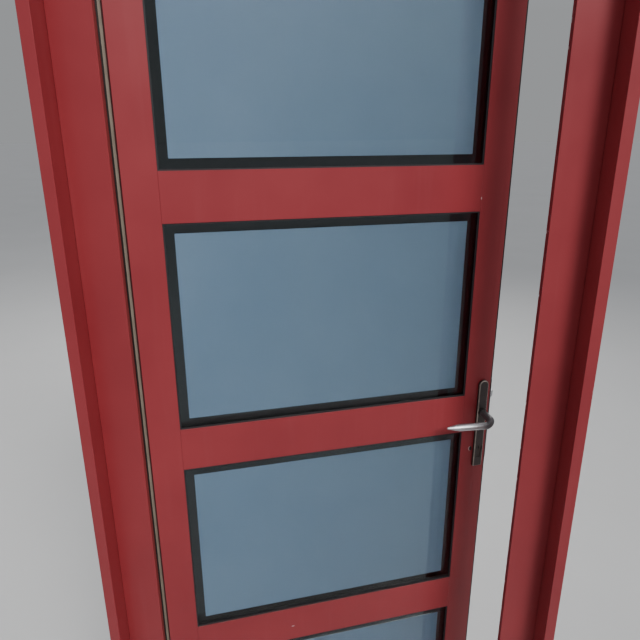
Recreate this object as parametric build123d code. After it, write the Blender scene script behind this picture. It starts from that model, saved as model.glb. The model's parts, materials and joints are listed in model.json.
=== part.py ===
from build123d import *
import math
import os

# A glazed entrance door in its own frame, seen from outside: X to the right, Y into the building,
# Z up. The origin is on the floor, in the middle of the opening, at the outer face of the frame.
# The leaf is worked out shut, in depths behind that face, and is then turned ajar about its hinges.

# Doorway
opening_width = 760.0
floor_gap = 5.0
head_gap = 4.0
hinge_gap = 3.0
lock_gap = 5.0
ajar_angle = 14.2

# Frame profiles
frame_face = 76.0
frame_depth = 40.0
frame_wall = 2.0
lip_share = 0.35
lip_reach = 18.0
edge_chamfer = 0.8
threshold_height = 20.0
threshold_wall = 2.5
nose_reach = 30.0
nose_height = 8.0

# Reveal trims that stand out towards the street
trim_face = 21.0
trim_proud = 50.0
trim_overlap = 12.0
trim_wall = 1.6

# Leaf profiles
pane_count = 4
pane_sight_height = 414.0
stile_face = 62.0
rail_face = 92.0
leaf_wall = 2.0
leaf_back_play = 0.6
wing_reach = 14.0
wing_share = 0.45
glazing_cover = 18.0

# Glazing
gasket_thickness = 2.0
gasket_show = 3.0
gasket_hidden = 8.0
pane_thickness = 4.0
cavity = 12.0
glass_edge_gap = 3.0
spacer_width = 7.0
spacer_inset = 3.0
bead_wall = 1.5
block_length = 60.0

# Seals
seal_width = 5.0
seal_inset = 5.5
seal_play = 0.6
sweep_depth = 8.0
sweep_play = 0.3

# Corner cleats and rail brackets
cleat_arm = 62.0
cleat_wall = 4.0
cleat_play = 0.3
bracket_reach = 38.0
bracket_wall = 3.0

# Barrel hinges on the inner side
hinge_count = 3
hinge_end_distance = 230.0
pin_past_lip = 8.0
barrel_radius = 7.0
knuckle_height = 45.0
knuckle_gap = 0.5
pin_radius = 4.5
pin_play = 0.05
flap_thickness = 4.0
flap_reach = 43.0

# Lock
backset = 36.0
spindle_rise = 3.0
cylinder_drop = 92.0
forend_thickness = 2.5
forend_lip = 0.5
forend_up = 66.0
forend_down = 138.0
case_side_play = 1.2
bolt_share = 2 / 3
case_up = 50.0
case_down = 122.0
case_end_play = 1.0
slide_play = 0.3
latch_rise = 26.0
latch_height = 16.0
latch_length = 32.0
latch_throw = 11.0
bolt_rise = 30.0
bolt_height = 28.0
bolt_length = 38.0
bolt_throw = 20.0
hub_radius = 9.0
hub_play = 0.1

# Profile cylinder
cylinder_radius = 8.5
cylinder_tail = 10.0
cylinder_height = 33.0
cylinder_recess = 1.5
cylinder_play = 0.25
plug_radius = 6.5
plug_play = 0.05
cam_reach = 15.0
cam_width = 8.0
cam_side_play = 0.5
cam_play = 0.5
keyway_height = 8.0
keyway_width = 2.0
keyway_depth = 6.0

# Handle set
plate_width = 22.0
plate_up = 78.5
plate_down = 140.0
plate_thickness = 8.0
plate_edge = 2.0
collar_radius = 10.0
collar_height = 3.0
neck_radius = 8.0
neck_play = 0.05
grip_out = 44.0
shoulder_reach = 9.4
shoulder_drop = 9.6
bend_radius = 9.0
grip_length = 108.0
tip_drop = 3.2
point_length = 28.0
point_radius = 2.2
spindle_side = 8.0
spindle_play = 0.05
spindle_grip = 28.0
plate_screw_up = 65.0
plate_screw_down = 128.0

# Strike and fasteners
strike_thickness = 4.0
strike_lip = 1.5
strike_up = 62.0
strike_down = 108.0
strike_play = 1.0
plate_screw_radius = 2.5
fastener_play = 0.1
anchor_radius = 4.0
anchor_count = 4
anchor_end_distance = 250.0

# Heights and places that follow
half_opening = opening_width / 2
leaf_bottom = threshold_height + floor_gap
leaf_left = -half_opening + hinge_gap
leaf_right = half_opening - lock_gap
pitch = pane_sight_height + rail_face
leaf_top = leaf_bottom + pane_count * pitch + stile_face
head_line = leaf_top + head_gap
lip_depth = lip_share * frame_depth
wing_start = wing_share * frame_depth
leaf_depth = frame_depth - leaf_back_play
stile_body = stile_face - glazing_cover
pane_front = leaf_wall + gasket_thickness
spacer_front = pane_front + pane_thickness
inner_pane_front = spacer_front + cavity
glass_back = inner_pane_front + pane_thickness
bead_front = glass_back + gasket_thickness
sight_left = leaf_left + stile_face
sight_right = leaf_right - stile_face
rebate_wall = half_opening + lip_reach
pin_x = -half_opening - pin_past_lip
pin_y = frame_depth + barrel_radius
forend_face = leaf_right + wing_reach + forend_thickness
spindle_x = forend_face - backset
spindle_z = leaf_bottom + (pane_count // 2) * pitch + rail_face / 2 + spindle_rise
cylinder_z = spindle_z - cylinder_drop
latch_z = spindle_z + latch_rise
bolt_z = cylinder_z + bolt_rise
lock_y = (wing_start + leaf_depth) / 2
case_thickness = leaf_depth - wing_start - 2 * (leaf_wall + case_side_play)
bolt_thickness = bolt_share * case_thickness
forend_width = case_thickness + 2 * forend_lip
strike_width = case_thickness + 2 * strike_lip
cam_thickness = bolt_thickness - 2 * cam_side_play
plate_back = leaf_depth + plate_thickness
plate_screw_end = plate_thickness / 2 - 1
cylinder_front = cylinder_recess - plate_thickness
cylinder_back = plate_back - cylinder_recess


def block(x0, x1, y0, y1, z0, z1):
    middle = Pos((x0 + x1) / 2, (y0 + y1) / 2, (z0 + z1) / 2)
    return middle * Box(x1 - x0, y1 - y0, z1 - z0)


def rod_x(x0, x1, y, z, radius):
    return Pos((x0 + x1) / 2, y, z) * Rot(0, 90, 0) * Cylinder(radius, x1 - x0)


def rod_y(x, y0, y1, z, radius):
    return Pos(x, (y0 + y1) / 2, z) * Rot(90, 0, 0) * Cylinder(radius, y1 - y0)


def rod_z(x, y, z0, z1, radius):
    return Pos(x, y, (z0 + z1) / 2) * Cylinder(radius, z1 - z0)


def upright(points, z0, z1):
    """Extrude a plan outline of X, Y points between two heights."""
    outline = make_face(Polyline(*points, close=True))
    return Pos(0, 0, z0) * extrude(outline, amount=z1 - z0, dir=(0, 0, 1))


def crosswise(points, x0, x1):
    """Extrude an end outline of Y, Z points between two places along X."""
    outline = Plane.YZ * make_face(Polyline(*points, close=True))
    return Pos(x0, 0, 0) * extrude(outline, amount=x1 - x0, dir=(1, 0, 0))


def inward(points, y0, y1):
    """Extrude a front outline of X, Z points between two depths."""
    outline = Plane((0, 0, 0), x_dir=(1, 0, 0), z_dir=(0, -1, 0)) * make_face(Polyline(*points, close=True))
    return Pos(0, y0, 0) * extrude(outline, amount=y1 - y0, dir=(0, 1, 0))


def ring(x0, x1, z0, z1, width, y0, y1):
    """A flat rectangular frame whose inner edge is the given rectangle."""
    outer = block(x0 - width, x1 + width, y0, y1, z0 - width, z1 + width)
    return outer - block(x0, x1, y0 - 1, y1 + 1, z0, z1)


def mitre(side, z):
    """The 45 degree plane of a top corner, on the left (-1) or right (1), through its inner line."""
    x = side * half_opening
    return Plane((x, 0, z), z_dir=(-side, 0, 1))


def ajar(part):
    """Turn a piece of the shut leaf about the hinge pins."""
    return part.rotate(Axis((pin_x, pin_y, 0), (0, 0, 1)), ajar_angle)


# Frame


def frame_section():
    """Outline and chamber of a frame profile, as distances out from the lip and depths."""
    outline = [
        (0, 0),
        (frame_face - edge_chamfer, 0),
        (frame_face, edge_chamfer),
        (frame_face, frame_depth),
        (lip_reach, frame_depth),
        (lip_reach, lip_depth),
        (0, lip_depth),
    ]
    chamber = [
        (frame_wall, frame_wall),
        (frame_face - frame_wall, frame_wall),
        (frame_face - frame_wall, frame_depth - frame_wall),
        (lip_reach + frame_wall, frame_depth - frame_wall),
        (lip_reach + frame_wall, lip_depth - frame_wall),
        (frame_wall, lip_depth - frame_wall),
    ]
    return outline, chamber


def trim_section():
    """Outline and chamber of a reveal trim."""
    outline = [
        (frame_face, -trim_proud),
        (frame_face + trim_face, -trim_proud),
        (frame_face + trim_face, trim_overlap),
        (frame_face, trim_overlap),
    ]
    chamber = [
        (frame_face + trim_wall, trim_wall - trim_proud),
        (frame_face + trim_face - trim_wall, trim_wall - trim_proud),
        (frame_face + trim_face - trim_wall, trim_overlap - trim_wall),
        (frame_face + trim_wall, trim_overlap - trim_wall),
    ]
    return outline, chamber


def frame_upright(section, side, z0):
    """A profile up one side of the opening, cut to a mitre at the top."""
    z1 = head_line + frame_face + trim_face
    solids = [
        upright([(side * (half_opening + out), depth) for out, depth in points], z0, z1)
        for points in section
    ]
    return split(solids[0] - solids[1], bisect_by=mitre(side, head_line), keep=Keep.BOTTOM)


def frame_crosspiece(section):
    """The same profile over the opening, mitred at both ends."""
    reach = half_opening + frame_face + trim_face
    solids = [
        crosswise([(depth, head_line + out) for out, depth in points], -reach, reach)
        for points in section
    ]
    bar = solids[0] - solids[1]
    for side in (-1, 1):
        bar = split(bar, bisect_by=mitre(side, head_line), keep=Keep.TOP)
    return bar


def anchor_heights():
    """Heights of the wall fixings in a jamb, evenly spaced."""
    run = head_line - 2 * anchor_end_distance
    return [anchor_end_distance + run * n / (anchor_count - 1) for n in range(anchor_count)]


def jamb(side):
    part = frame_upright(frame_section(), side, threshold_height)
    anchor_y = (lip_depth + frame_depth) / 2
    ends = sorted((side * half_opening, side * (half_opening + frame_face + 1)))
    for z in anchor_heights():
        part -= rod_x(*ends, anchor_y, z, anchor_radius)
    return part


def lock_pocket(x0, x1, z, height, thickness, play):
    """The room that a latch or bolt needs, with play all round."""
    return block(
        x0,
        x1,
        lock_y - thickness / 2 - play,
        lock_y + thickness / 2 + play,
        z - height / 2 - play,
        z + height / 2 + play,
    )


def strike_pockets(x0, x1):
    latch = lock_pocket(x0, x1, latch_z, latch_height, bolt_thickness, strike_play)
    bolt = lock_pocket(x0, x1, bolt_z, bolt_height, bolt_thickness, strike_play)
    return latch + bolt


def lock_jamb():
    return jamb(1) - strike_pockets(rebate_wall - 1, rebate_wall + frame_wall + 1)


def strike_plate():
    face = rebate_wall - strike_thickness
    part = block(
        face,
        rebate_wall,
        lock_y - strike_width / 2,
        lock_y + strike_width / 2,
        spindle_z - strike_down,
        spindle_z + strike_up,
    )
    part = fillet(part.edges().filter_by(Axis.X), 2)
    return part - strike_pockets(face - 1, rebate_wall + 1)


def threshold():
    """A low hollow sill with a sloping nose towards the street."""
    reach = half_opening + frame_face
    outline = [
        (-nose_reach, 0),
        (frame_depth, 0),
        (frame_depth, threshold_height),
        (0, threshold_height),
        (-nose_reach, nose_height),
    ]
    chamber = [
        (threshold_wall, threshold_wall),
        (frame_depth - threshold_wall, threshold_wall),
        (frame_depth - threshold_wall, threshold_height - threshold_wall),
        (threshold_wall, threshold_height - threshold_wall),
    ]
    return crosswise(outline, -reach, reach) - crosswise(chamber, -reach, reach)


def corner_angle(side, outer, inner, arm, line_x, line_z):
    """Front outline of an L round a mitred corner; outer and inner count out from the line."""
    return [
        (line_x + side * outer, line_z + outer),
        (line_x + side * outer, line_z - arm),
        (line_x + side * inner, line_z - arm),
        (line_x + side * inner, line_z + inner),
        (line_x - side * arm, line_z + inner),
        (line_x - side * arm, line_z + outer),
    ]


def corner_cleat(side, outer, inner, line_x, line_z, y0, y1):
    """A hollow L that fills both chambers at a mitred corner."""
    skin = corner_angle(side, outer, inner, cleat_arm, line_x, line_z)
    room = outer - cleat_wall, inner + cleat_wall, cleat_arm - cleat_wall
    core = corner_angle(side, *room, line_x, line_z)
    return inward(skin, y0, y1) - inward(core, y0 - 1, y1 + 1)


def frame_cleats():
    outer = frame_face - frame_wall - cleat_play
    inner = lip_reach + frame_wall + cleat_play
    y0 = frame_wall + cleat_play
    y1 = frame_depth - frame_wall - cleat_play
    return [
        corner_cleat(side, outer, inner, side * half_opening, head_line, y0, y1)
        for side in (-1, 1)
    ]


# Leaf


def edge_section():
    """Outline and chamber of a stile or the top rail, as distances in from the edge and depths."""
    outline = [
        (0, 0),
        (stile_face, 0),
        (stile_face, leaf_wall),
        (stile_body, leaf_wall),
        (stile_body, leaf_depth),
        (-wing_reach, leaf_depth),
        (-wing_reach, wing_start),
        (0, wing_start),
    ]
    chamber = [
        (leaf_wall, leaf_wall),
        (stile_body - leaf_wall, leaf_wall),
        (stile_body - leaf_wall, leaf_depth - leaf_wall),
        (leaf_wall - wing_reach, leaf_depth - leaf_wall),
        (leaf_wall - wing_reach, wing_start + leaf_wall),
        (leaf_wall, wing_start + leaf_wall),
    ]
    return outline, chamber


def leaf_mitre(side):
    x = leaf_left if side < 0 else leaf_right
    return Plane((x, 0, leaf_top), z_dir=(-side, 0, 1))


def stile(side):
    edge = leaf_left if side < 0 else leaf_right
    solids = [
        upright([(edge - side * s, depth) for s, depth in points], leaf_bottom, leaf_top + wing_reach)
        for points in edge_section()
    ]
    return split(solids[0] - solids[1], bisect_by=leaf_mitre(side), keep=Keep.BOTTOM)


def top_rail():
    solids = [
        crosswise(
            [(depth, leaf_top - s) for s, depth in points],
            leaf_left - wing_reach,
            leaf_right + wing_reach,
        )
        for points in edge_section()
    ]
    bar = solids[0] - solids[1]
    for side in (-1, 1):
        bar = split(bar, bisect_by=leaf_mitre(side), keep=Keep.TOP)
    return bar


def rail_base(n):
    """The underside of the nth rail, counted up from the bottom rail."""
    return leaf_bottom + n * pitch


def cross_rail(n):
    """A face plate between the stile faces on a channel that reaches the stile bodies."""
    low = rail_base(n)
    high = low + rail_face
    body_low = low if n == 0 else low + glazing_cover
    body_high = high - glazing_cover
    plate = block(sight_left, sight_right, 0, leaf_wall, low, high)
    reach = leaf_left + stile_body, leaf_right - stile_body
    channel = block(*reach, leaf_wall, leaf_depth, body_low, body_high)
    hollow = block(
        *reach,
        leaf_wall,
        leaf_depth - leaf_wall,
        body_low + leaf_wall,
        body_high - leaf_wall,
    )
    return plate + (channel - hollow)


def rail_bracket(n, side):
    """A bent bracket that ties a rail's channel to the stile beside it."""
    low = rail_base(n) + leaf_wall + cleat_play
    if n > 0:
        low += glazing_cover
    high = rail_base(n) + rail_face - glazing_cover - leaf_wall - cleat_play
    root = leaf_left + stile_body if side < 0 else leaf_right - stile_body
    end = root - side * bracket_reach
    inner = root - side * bracket_wall
    points = [
        (root, low),
        (end, low),
        (end, low + bracket_wall),
        (inner, low + bracket_wall),
        (inner, high - bracket_wall),
        (end, high - bracket_wall),
        (end, high),
        (root, high),
    ]
    return inward(points, leaf_wall + cleat_play, leaf_depth - leaf_wall - cleat_play)


def leaf_connectors():
    outer = -leaf_wall - cleat_play
    inner = -(stile_body - leaf_wall - cleat_play)
    y0 = leaf_wall + cleat_play
    y1 = leaf_depth - leaf_wall - cleat_play
    cleats = [
        corner_cleat(-1, outer, inner, leaf_left, leaf_top, y0, y1),
        corner_cleat(1, outer, inner, leaf_right, leaf_top, y0, y1),
    ]
    brackets = [rail_bracket(n, side) for n in range(pane_count) for side in (-1, 1)]
    return cleats + brackets


def leaf_seal():
    """A seal along the front of the wing, up both sides and over the top."""
    start = lip_depth + seal_play
    out = wing_reach - seal_inset
    back = out - seal_width
    outer = block(leaf_left - out, leaf_right + out, start, wing_start, leaf_bottom, leaf_top + out)
    inner = block(
        leaf_left - back,
        leaf_right + back,
        start - 1,
        wing_start + 1,
        leaf_bottom - 1,
        leaf_top + back,
    )
    return outer - inner


def bottom_sweep():
    middle = leaf_depth / 2
    return block(
        leaf_left,
        leaf_right,
        middle - sweep_depth / 2,
        middle + sweep_depth / 2,
        threshold_height + sweep_play,
        leaf_bottom,
    )


# Glazing, numbered from the top pane down


def sight(n):
    """The visible rectangle of the nth pane: left, right, bottom and top."""
    low = rail_base(pane_count - n) + rail_face
    return sight_left, sight_right, low, low + pane_sight_height


def grown(rectangle, by):
    x0, x1, z0, z1 = rectangle
    return x0 - by, x1 + by, z0 - by, z1 + by


def pane(n, front):
    x0, x1, z0, z1 = grown(sight(n), glazing_cover - glass_edge_gap)
    return block(x0, x1, front, front + pane_thickness, z0, z1)


def spacer(n):
    inner = grown(sight(n), glazing_cover - glass_edge_gap - spacer_inset - spacer_width)
    return ring(*inner, spacer_width, spacer_front, inner_pane_front)


def gasket(n):
    outer = ring(*grown(sight(n), -gasket_show), gasket_show + gasket_hidden, leaf_wall, pane_front)
    inner = ring(*sight(n), gasket_hidden, glass_back, bead_front)
    return [outer, inner]


def bead_section(line, way):
    """An angle: a leg along the sight line and a back that reaches the rebate wall."""
    return [
        (bead_front, line),
        (leaf_depth, line),
        (leaf_depth, line + way * glazing_cover),
        (leaf_depth - bead_wall, line + way * glazing_cover),
        (leaf_depth - bead_wall, line + way * bead_wall),
        (bead_front, line + way * bead_wall),
    ]


def beads(n):
    x0, x1, z0, z1 = sight(n)
    flat = [
        crosswise(bead_section(line, way), x0 - glazing_cover, x1 + glazing_cover)
        for line, way in ((z0, -1), (z1, 1))
    ]
    tall = [
        upright([(x, y) for y, x in bead_section(line, way)], z0, z1)
        for line, way in ((x0, -1), (x1, 1))
    ]
    return flat + tall


def setting_blocks():
    solids = []
    for n in range(1, pane_count + 1):
        x0, x1, z0, z1 = grown(sight(n), glazing_cover)
        for x in (x0 + (x1 - x0) / 4, x1 - (x1 - x0) / 4):
            solids.append(
                block(
                    x - block_length / 2,
                    x + block_length / 2,
                    pane_front,
                    glass_back,
                    z0,
                    z0 + glass_edge_gap,
                )
            )
    return solids


# Hinges


def hinge_heights():
    run = leaf_top - leaf_bottom - 2 * hinge_end_distance
    return [leaf_bottom + hinge_end_distance + run * n / (hinge_count - 1) for n in range(hinge_count)]


def knuckle(z0, z1, end, flap_y):
    """A barrel with its flap, which runs from the pin to the given X."""
    barrel = rod_z(pin_x, pin_y, z0, z1, barrel_radius)
    x0, x1 = sorted((pin_x, end))
    return barrel + block(x0, x1, flap_y, flap_y + flap_thickness, z0, z1)


def hinge_frame_half(z):
    low = z - knuckle_height
    part = knuckle(low, z - knuckle_gap / 2, pin_x - flap_reach - lip_reach, frame_depth)
    return part + rod_z(pin_x, pin_y, low, z + knuckle_height - knuckle_gap, pin_radius)


def hinge_leaf_half(z):
    high = z + knuckle_height
    part = knuckle(z + knuckle_gap / 2, high, pin_x + flap_reach, leaf_depth)
    return part - rod_z(pin_x, pin_y, z, high + 1, pin_radius + pin_play)


# Lock


def profile_outline(play):
    """The keyhole shape of a profile cylinder, on a plane that faces the street."""
    radius = cylinder_radius + play
    drop = cylinder_height - cylinder_radius + play
    half = cylinder_tail / 2 + play
    tail = Pos(0, -(drop - half) / 2) * Rectangle(2 * half, drop - half)
    return Circle(radius) + tail + Pos(0, half - drop) * Circle(half)


def profile_bar(y0, y1, play):
    plane = Plane((spindle_x, y0, cylinder_z), x_dir=(1, 0, 0), z_dir=(0, -1, 0))
    return extrude(plane * profile_outline(play), amount=y1 - y0, dir=(0, 1, 0))


def lock_case():
    """The case in the stile with its forend on the wing's edge."""
    seat = leaf_right + wing_reach
    far = leaf_right - stile_body + leaf_wall + case_end_play
    half = case_thickness / 2
    case = block(far, seat, lock_y - half, lock_y + half, spindle_z - case_down, spindle_z + case_up)
    forend = block(
        seat,
        forend_face,
        lock_y - forend_width / 2,
        lock_y + forend_width / 2,
        spindle_z - forend_down,
        spindle_z + forend_up,
    )
    part = case + forend
    latch_end = forend_face + latch_throw - latch_length - latch_throw
    part -= lock_pocket(
        latch_end - slide_play,
        forend_face + 1,
        latch_z,
        latch_height,
        bolt_thickness,
        slide_play,
    )
    part -= lock_pocket(
        forend_face - bolt_length - slide_play,
        forend_face + 1,
        bolt_z,
        bolt_height,
        bolt_thickness,
        slide_play,
    )
    part -= rod_y(spindle_x, lock_y - half - 1, lock_y + half + 1, spindle_z, hub_radius + hub_play)
    part -= profile_bar(lock_y - half - 1, lock_y + half + 1, cylinder_play)
    sweep = cam_thickness / 2 + cam_play
    return part - rod_y(spindle_x, lock_y - sweep, lock_y + sweep, cylinder_z, cam_reach + cam_play)


def latch_bolt():
    """A latch whose bevel faces the street, the way that the leaf shuts."""
    tip = forend_face + latch_throw
    root = tip - latch_length
    low = lock_y - bolt_thickness / 2
    high = lock_y + bolt_thickness / 2
    points = [
        (root, low),
        (forend_face + 1, low),
        (tip, high - 2),
        (tip, high),
        (root, high),
    ]
    return upright(points, latch_z - latch_height / 2, latch_z + latch_height / 2)


def deadbolt():
    part = lock_pocket(forend_face - bolt_length, forend_face, bolt_z, bolt_height, bolt_thickness, 0)
    return chamfer(part.faces().sort_by(Axis.X)[-1].edges(), 0.8)


def hub():
    half = case_thickness / 2
    part = rod_y(spindle_x, lock_y - half, lock_y + half, spindle_z, hub_radius)
    return part - spindle_bar(lock_y - half - 1, lock_y + half + 1, spindle_play)


def cylinder_body():
    """The profile bar, bored for the plug and slotted across the middle for the cam."""
    part = profile_bar(cylinder_front, cylinder_back, 0)
    ends = cylinder_front - 1, cylinder_back + 1
    part -= rod_y(spindle_x, *ends, cylinder_z, plug_radius + plug_play)
    sweep = cam_thickness / 2 + cam_play
    return part - rod_y(spindle_x, lock_y - sweep, lock_y + sweep, cylinder_z, cam_reach + cam_play)


def cylinder_plug():
    """The turning core with a keyway at each end and the cam that throws the bolt."""
    part = rod_y(spindle_x, cylinder_front, cylinder_back, cylinder_z, plug_radius)
    half = cam_thickness / 2
    part += rod_y(spindle_x, lock_y - half, lock_y + half, cylinder_z, cylinder_radius)
    part += block(
        spindle_x - cam_width / 2,
        spindle_x + cam_width / 2,
        lock_y - half,
        lock_y + half,
        cylinder_z - cam_reach + cam_play,
        cylinder_z,
    )
    for y0, y1 in (
        (cylinder_front - 1, cylinder_front + keyway_depth),
        (cylinder_back - keyway_depth, cylinder_back + 1),
    ):
        part -= block(
            spindle_x - keyway_width / 2,
            spindle_x + keyway_width / 2,
            y0,
            y1,
            cylinder_z - keyway_height / 2,
            cylinder_z + keyway_height / 2,
        )
    return part


# Handle set


def spindle_bar(y0, y1, play):
    half = spindle_side / 2 + play
    return block(spindle_x - half, spindle_x + half, y0, y1, spindle_z - half, spindle_z + half)


def plate_blank():
    """A long plate with a round head, its outer edges bevelled, and a collar for the neck."""
    half = plate_width / 2
    plane = Plane((spindle_x, 0, spindle_z), x_dir=(1, 0, 0), z_dir=(0, -1, 0))
    length = plate_up + plate_down - half
    face = Pos(0, plate_up - half - length / 2) * Rectangle(plate_width, length)
    face += Pos(0, plate_up - half) * Circle(half)
    part = extrude(plane * face, amount=plate_thickness, dir=(0, -1, 0))
    part = chamfer(part.faces().sort_by(Axis.Y)[0].edges(), plate_edge)
    return part + rod_y(spindle_x, -plate_thickness - collar_height, -1, spindle_z, collar_radius)


def plate_screw_heights():
    return spindle_z + plate_screw_up, spindle_z - plate_screw_down


def outside_plate():
    part = plate_blank() - neck_bore(-plate_thickness - collar_height - 1, 1)
    part -= profile_bar(-plate_thickness - 1, 1, cylinder_play)
    for z in plate_screw_heights():
        part -= rod_y(spindle_x, -plate_screw_end, 1, z, plate_screw_radius + fastener_play)
    return part


def inside_plate():
    middle = Plane((0, leaf_depth / 2, 0), z_dir=(0, 1, 0))
    part = mirror(plate_blank(), about=middle)
    part -= neck_bore(leaf_depth - 1, plate_back + collar_height + 1)
    part -= profile_bar(leaf_depth - 1, plate_back + 1, cylinder_play)
    for z in plate_screw_heights():
        part -= plate_screw(z, fastener_play)
    return part


def neck_bore(y0, y1):
    return rod_y(spindle_x, y0, y1, spindle_z, neck_radius + neck_play)


def plate_screw(z, play):
    """A screw from the inside plate, through the stile, into the outside plate."""
    shank = rod_y(spindle_x, play - plate_screw_end, plate_back, z, plate_screw_radius + play)
    head = Cone(plate_screw_radius + play, 2 * plate_screw_radius + play, plate_screw_radius)
    seat = Pos(spindle_x, plate_back - plate_screw_radius / 2, z) * Rot(-90, 0, 0)
    return shank + seat * head


def lever():
    """The outside lever: a round bar bent twice, from its neck down and along, drawn to a point."""
    plane = Plane((spindle_x, -plate_thickness, spindle_z), x_dir=(1, 0, 0), z_dir=(0, -1, 0))
    root = Vector(0, 0, 1 - plate_thickness)
    corner = Vector(0, 0, grip_out)
    shoulder = Vector(-shoulder_reach, -shoulder_drop, grip_out)
    tip = Vector(-grip_length, -tip_drop, grip_out)
    along = (tip - shoulder).normalized()
    waist = tip - along * point_length
    path = FilletPolyline(root, corner, shoulder, waist, radius=bend_radius)
    bar = sweep(Plane(root) * Circle(neck_radius), path=path)
    middle = Plane(waist + along * (point_length / 2), z_dir=along)
    point = middle * Cone(neck_radius, point_radius, point_length)
    return plane * (bar + point) - spindle_bar(-plate_thickness - spindle_grip, 0, spindle_play)


def inside_lever():
    return mirror(lever(), about=Plane((0, leaf_depth / 2, 0), z_dir=(0, 1, 0)))


def spindle():
    return spindle_bar(-plate_thickness - spindle_grip + 1, plate_back + spindle_grip - 1, 0)


def lock_stile():
    """The stile that carries the lock, with its slots and holes."""
    part = stile(1)
    half = case_thickness / 2 + slide_play
    seat = leaf_right + wing_reach
    part -= block(
        seat - leaf_wall - 1,
        seat + 1,
        lock_y - half,
        lock_y + half,
        spindle_z - case_down - slide_play,
        spindle_z + case_up + slide_play,
    )
    part -= rod_y(spindle_x, -1, leaf_depth + 1, spindle_z, neck_radius + 2)
    part -= profile_bar(-1, leaf_depth + 1, cylinder_play)
    for z in plate_screw_heights():
        part -= rod_y(spindle_x, -1, leaf_depth + 1, z, plate_screw_radius + fastener_play)
    return part


def frame_parts():
    parts = {
        "hinge_jamb": [jamb(-1)],
        "lock_jamb": [lock_jamb()],
        "head": [frame_crosspiece(frame_section())],
        "threshold": [threshold()],
        "hinge_side_trim": [frame_upright(trim_section(), -1, 0)],
        "lock_side_trim": [frame_upright(trim_section(), 1, 0)],
        "head_trim": [frame_crosspiece(trim_section())],
        "frame_corner_cleats": frame_cleats(),
        "strike_plate": [strike_plate()],
    }
    for n, z in enumerate(hinge_heights(), 1):
        parts[f"hinge_{n}_frame_half"] = [hinge_frame_half(z)]
    return parts


def leaf_parts():
    parts = {
        "hinge_stile": [stile(-1)],
        "lock_stile": [lock_stile()],
        "top_rail": [top_rail()],
        "bottom_rail": [cross_rail(0)],
        "leaf_connectors": leaf_connectors(),
        "leaf_seal": [leaf_seal()],
        "bottom_sweep": [bottom_sweep()],
        "setting_blocks": setting_blocks(),
        "lock_case": [lock_case()],
        "cylinder_body": [cylinder_body()],
        "cylinder_plug": [cylinder_plug()],
        "latch_bolt": [latch_bolt()],
        "deadbolt": [deadbolt()],
        "lock_hub": [hub()],
        "spindle": [spindle()],
        "outside_plate": [outside_plate()],
        "inside_plate": [inside_plate()],
        "plate_screws": [plate_screw(z, 0) for z in plate_screw_heights()],
        "outside_lever": [lever()],
        "inside_lever": [inside_lever()],
    }
    for n in range(1, pane_count):
        parts[f"cross_rail_{n}"] = [cross_rail(pane_count - n)]
    for n in range(1, pane_count + 1):
        parts[f"outer_pane_{n}"] = [pane(n, pane_front)]
        parts[f"spacer_{n}"] = [spacer(n)]
        parts[f"inner_pane_{n}"] = [pane(n, inner_pane_front)]
        parts[f"gasket_{n}"] = gasket(n)
        parts[f"glazing_beads_{n}"] = beads(n)
    for n, z in enumerate(hinge_heights(), 1):
        parts[f"hinge_{n}_leaf_half"] = [hinge_leaf_half(z)]
    return parts


def write_parts():
    os.makedirs("parts", exist_ok=True)
    for name, solids in frame_parts().items():
        export_step(Compound(solids), f"parts/{name}.step")
    for name, solids in leaf_parts().items():
        export_step(ajar(Compound(solids)), f"parts/{name}.step")


write_parts()
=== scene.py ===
import json
import math
import random

import bmesh
import bpy
from mathutils import Matrix, Vector


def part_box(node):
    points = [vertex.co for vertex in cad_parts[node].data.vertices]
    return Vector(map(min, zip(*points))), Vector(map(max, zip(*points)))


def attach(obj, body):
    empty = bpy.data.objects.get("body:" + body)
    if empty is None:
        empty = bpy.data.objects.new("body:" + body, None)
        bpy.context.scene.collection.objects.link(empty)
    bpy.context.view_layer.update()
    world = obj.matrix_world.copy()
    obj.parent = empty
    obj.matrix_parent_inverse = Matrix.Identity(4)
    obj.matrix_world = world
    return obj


# A glass entrance door in its frame, standing ajar. All sizes are in metres.

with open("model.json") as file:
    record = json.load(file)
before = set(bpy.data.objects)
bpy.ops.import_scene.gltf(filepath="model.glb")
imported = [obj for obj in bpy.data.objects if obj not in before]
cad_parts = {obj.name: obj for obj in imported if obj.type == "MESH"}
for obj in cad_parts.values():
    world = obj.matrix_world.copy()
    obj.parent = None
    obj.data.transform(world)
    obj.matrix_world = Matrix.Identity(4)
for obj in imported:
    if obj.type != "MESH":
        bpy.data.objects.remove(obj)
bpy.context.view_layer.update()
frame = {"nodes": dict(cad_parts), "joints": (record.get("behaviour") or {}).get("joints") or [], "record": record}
nodes = frame["nodes"]
print("frame loaded,", len(nodes), "nodes")


# The leaf stands ajar: its places are measured shut and then turned about the hinge pins

swing = {joint["name"]: joint for joint in frame["joints"]}["leaf_swing"]
hingePin = Vector(swing["pos_m"])
ajarAngle = -math.radians(swing["range_deg"][0])
leafTurn = (
    Matrix.Translation(hingePin)
    @ Matrix.Rotation(ajarAngle, 4, "Z")
    @ Matrix.Translation(-hingePin)
)
leafUnturn = leafTurn.inverted()
leafAlong = Vector((math.cos(ajarAngle), math.sin(ajarAngle), 0))
leafInward = Vector((-math.sin(ajarAngle), math.cos(ajarAngle), 0))
upward = Vector((0, 0, 1))
toStreet = Vector((0, -1, 0))
toRoom = Vector((0, 1, 0))
toHinges = Vector((-1, 0, 0))


def shutBox(name):  # a leaf node's lowest and highest corners with the leaf shut
    points = [leafUnturn @ vertex.co for vertex in nodes[name].data.vertices]
    low = Vector([min(values) for values in zip(*points)])
    high = Vector([max(values) for values in zip(*points)])
    return low, high


def alongLeaf(x):  # what a point at x on the shut leaf measures along leafAlong once ajar
    return x + leafAlong.dot(hingePin) - hingePin.x


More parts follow.
